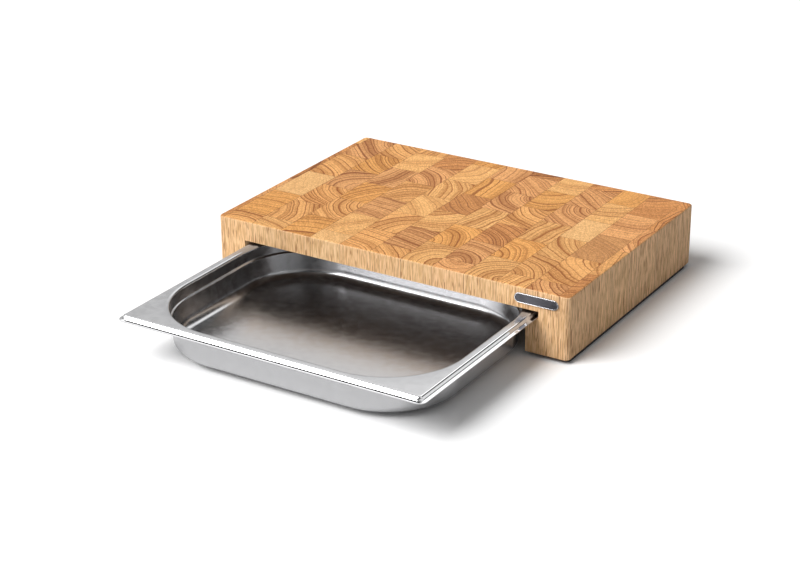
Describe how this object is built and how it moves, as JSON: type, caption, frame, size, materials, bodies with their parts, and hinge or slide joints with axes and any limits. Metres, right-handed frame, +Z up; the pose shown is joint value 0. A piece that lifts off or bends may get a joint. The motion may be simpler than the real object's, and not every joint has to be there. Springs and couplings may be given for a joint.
{
  "type": "cutting board with tray drawer",
  "caption": "Thick end-grain wooden cutting block on rubber strips, with a channel milled under it where a pressed steel food tray slides in and out by its rim.",
  "frame": {"origin": "centre of the bounding box's base on the floor, with the tray pulled out as in the picture", "axes": "+X along the block's long side, to the right seen from the front; +Y from the front, where the tray comes out, to the back; +Z up"},
  "size_m": [0.39, 0.471, 0.067],
  "materials": {
    "block_wood": "oiled end grain, satin",
    "tray_steel": "satin pressed stainless steel with a polished rim",
    "strip_rubber": "matt black",
    "screw_steel": "zinc plated",
    "plate_metal": "cast plate, bright rim round a darker sunk field"
  },
  "bodies": {
    "board": {"stave_row_left_6": "block_wood", "stave_row_left_5": "block_wood", "stave_row_left_4": "block_wood", "stave_row_left_3": "block_wood", "stave_row_left_2": "block_wood", "stave_row_left_1": "block_wood", "stave_row_middle": "block_wood", "stave_row_right_1": "block_wood", "stave_row_right_2": "block_wood", "stave_row_right_3": "block_wood", "stave_row_right_4": "block_wood", "stave_row_right_5": "block_wood", "stave_row_right_6": "block_wood", "rubber_strip_left": "strip_rubber", "rubber_strip_right": "strip_rubber", "strip_screws_left": "screw_steel", "strip_screws_right": "screw_steel", "nameplate": "plate_metal"},
    "tray": {"tray": "tray_steel"}
  },
  "joints": [
    {"name": "tray_slide", "type": "slide", "parent": "board", "child": "tray", "axis": [0, -1, 0], "range_m": [-0.2017, 0.07]}
  ]
}
